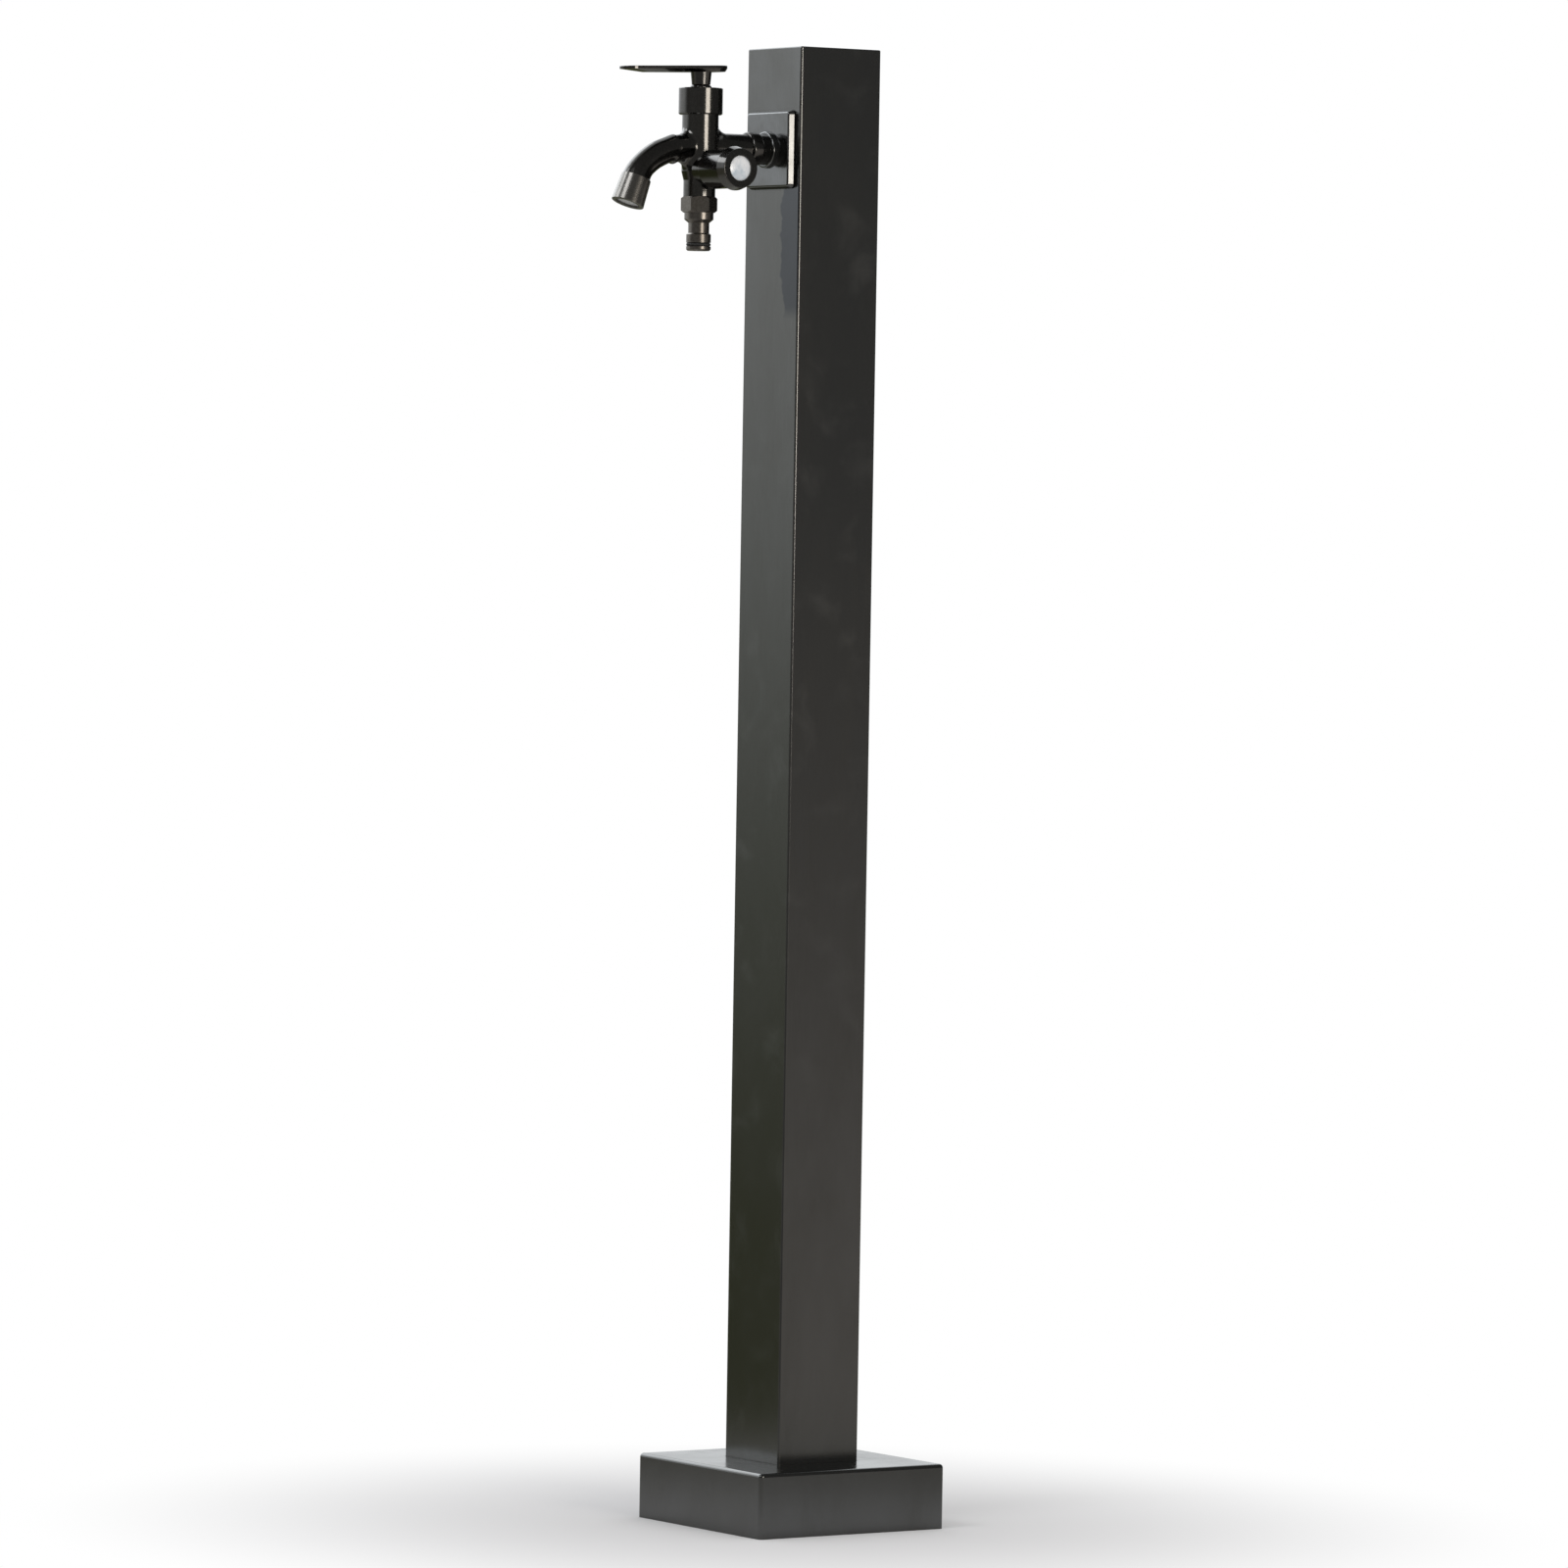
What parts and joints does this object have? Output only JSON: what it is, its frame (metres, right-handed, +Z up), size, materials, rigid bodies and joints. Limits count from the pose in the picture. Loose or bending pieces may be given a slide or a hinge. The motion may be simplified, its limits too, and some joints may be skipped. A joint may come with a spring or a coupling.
{
  "type": "garden standpipe",
  "caption": "Free-standing square water post with a covered base plate, a lever tap with a downturned spout, and a knob-operated hose outlet.",
  "frame": {"origin": "centre of the base plate's underside, on the ground, in the middle of the four anchor holes", "axes": "+Z up the post, -Y the way the tap stands out, +X the way the side valve's knob points"},
  "size_m": [0.15, 0.234, 1],
  "materials": {
    "post_metal": "satin dark stainless",
    "plate_steel": "mill finish",
    "tap_metal": "polished black nickel",
    "nozzle_metal": "brushed gunmetal",
    "index_metal": "polished bright",
    "screw_steel": "plain",
    "pipe_steel": "drawn",
    "brass": "turned",
    "ceramic": "lapped white",
    "rubber": "matt black",
    "aerator_plastic": "moulded"
  },
  "bodies": {
    "post_and_tap": {"post_tube": "post_metal", "top_cap": "post_metal", "base_plate": "plate_steel", "tap_body": "tap_metal", "flange": "tap_metal", "bonnet_cap": "tap_metal", "gland_nut": "tap_metal", "hose_connector": "tap_metal", "spout_nozzle": "nozzle_metal", "elbow_screws": "screw_steel", "aerator_screen": "screw_steel", "supply_pipe": "pipe_steel", "inlet_fitting": "brass", "pipe_nuts": "brass", "pipe_olives": "brass", "wall_elbow": "brass", "main_cartridge": "brass", "side_cartridge": "brass", "main_fixed_disc": "ceramic", "side_fixed_disc": "ceramic", "flange_gasket": "rubber", "main_seat_seal": "rubber", "side_seat_seal": "rubber", "nozzle_washer": "rubber", "hose_seal_ring": "rubber", "connector_washer": "rubber", "aerator_body": "aerator_plastic"},
    "lever": {"lever_handle": "tap_metal", "lever_set_screw": "screw_steel", "main_spindle": "brass", "main_spindle_ring": "rubber", "main_moving_disc": "ceramic"},
    "knob": {"knob_grip": "tap_metal", "knob_cap": "tap_metal", "index_disc": "index_metal", "knob_screw": "screw_steel", "side_spindle": "brass", "side_spindle_ring": "rubber", "side_moving_disc": "ceramic"},
    "cover": {"base_cover": "post_metal"}
  },
  "joints": [
    {"name": "lever_turn", "type": "hinge", "parent": "post_and_tap", "child": "lever", "pos_m": [0, -0.0915, 0.98], "axis": [0, 0, 1], "range_deg": [0, 90]},
    {"name": "knob_turn", "type": "hinge", "parent": "post_and_tap", "child": "knob", "pos_m": [0.03, -0.0915, 0.9156], "axis": [1, 0, 0], "range_deg": [0, 90]},
    {"name": "cover_lift", "type": "slide", "parent": "post_and_tap", "child": "cover", "axis": [0, 0, 1], "range_m": [0, 0.85]}
  ]
}
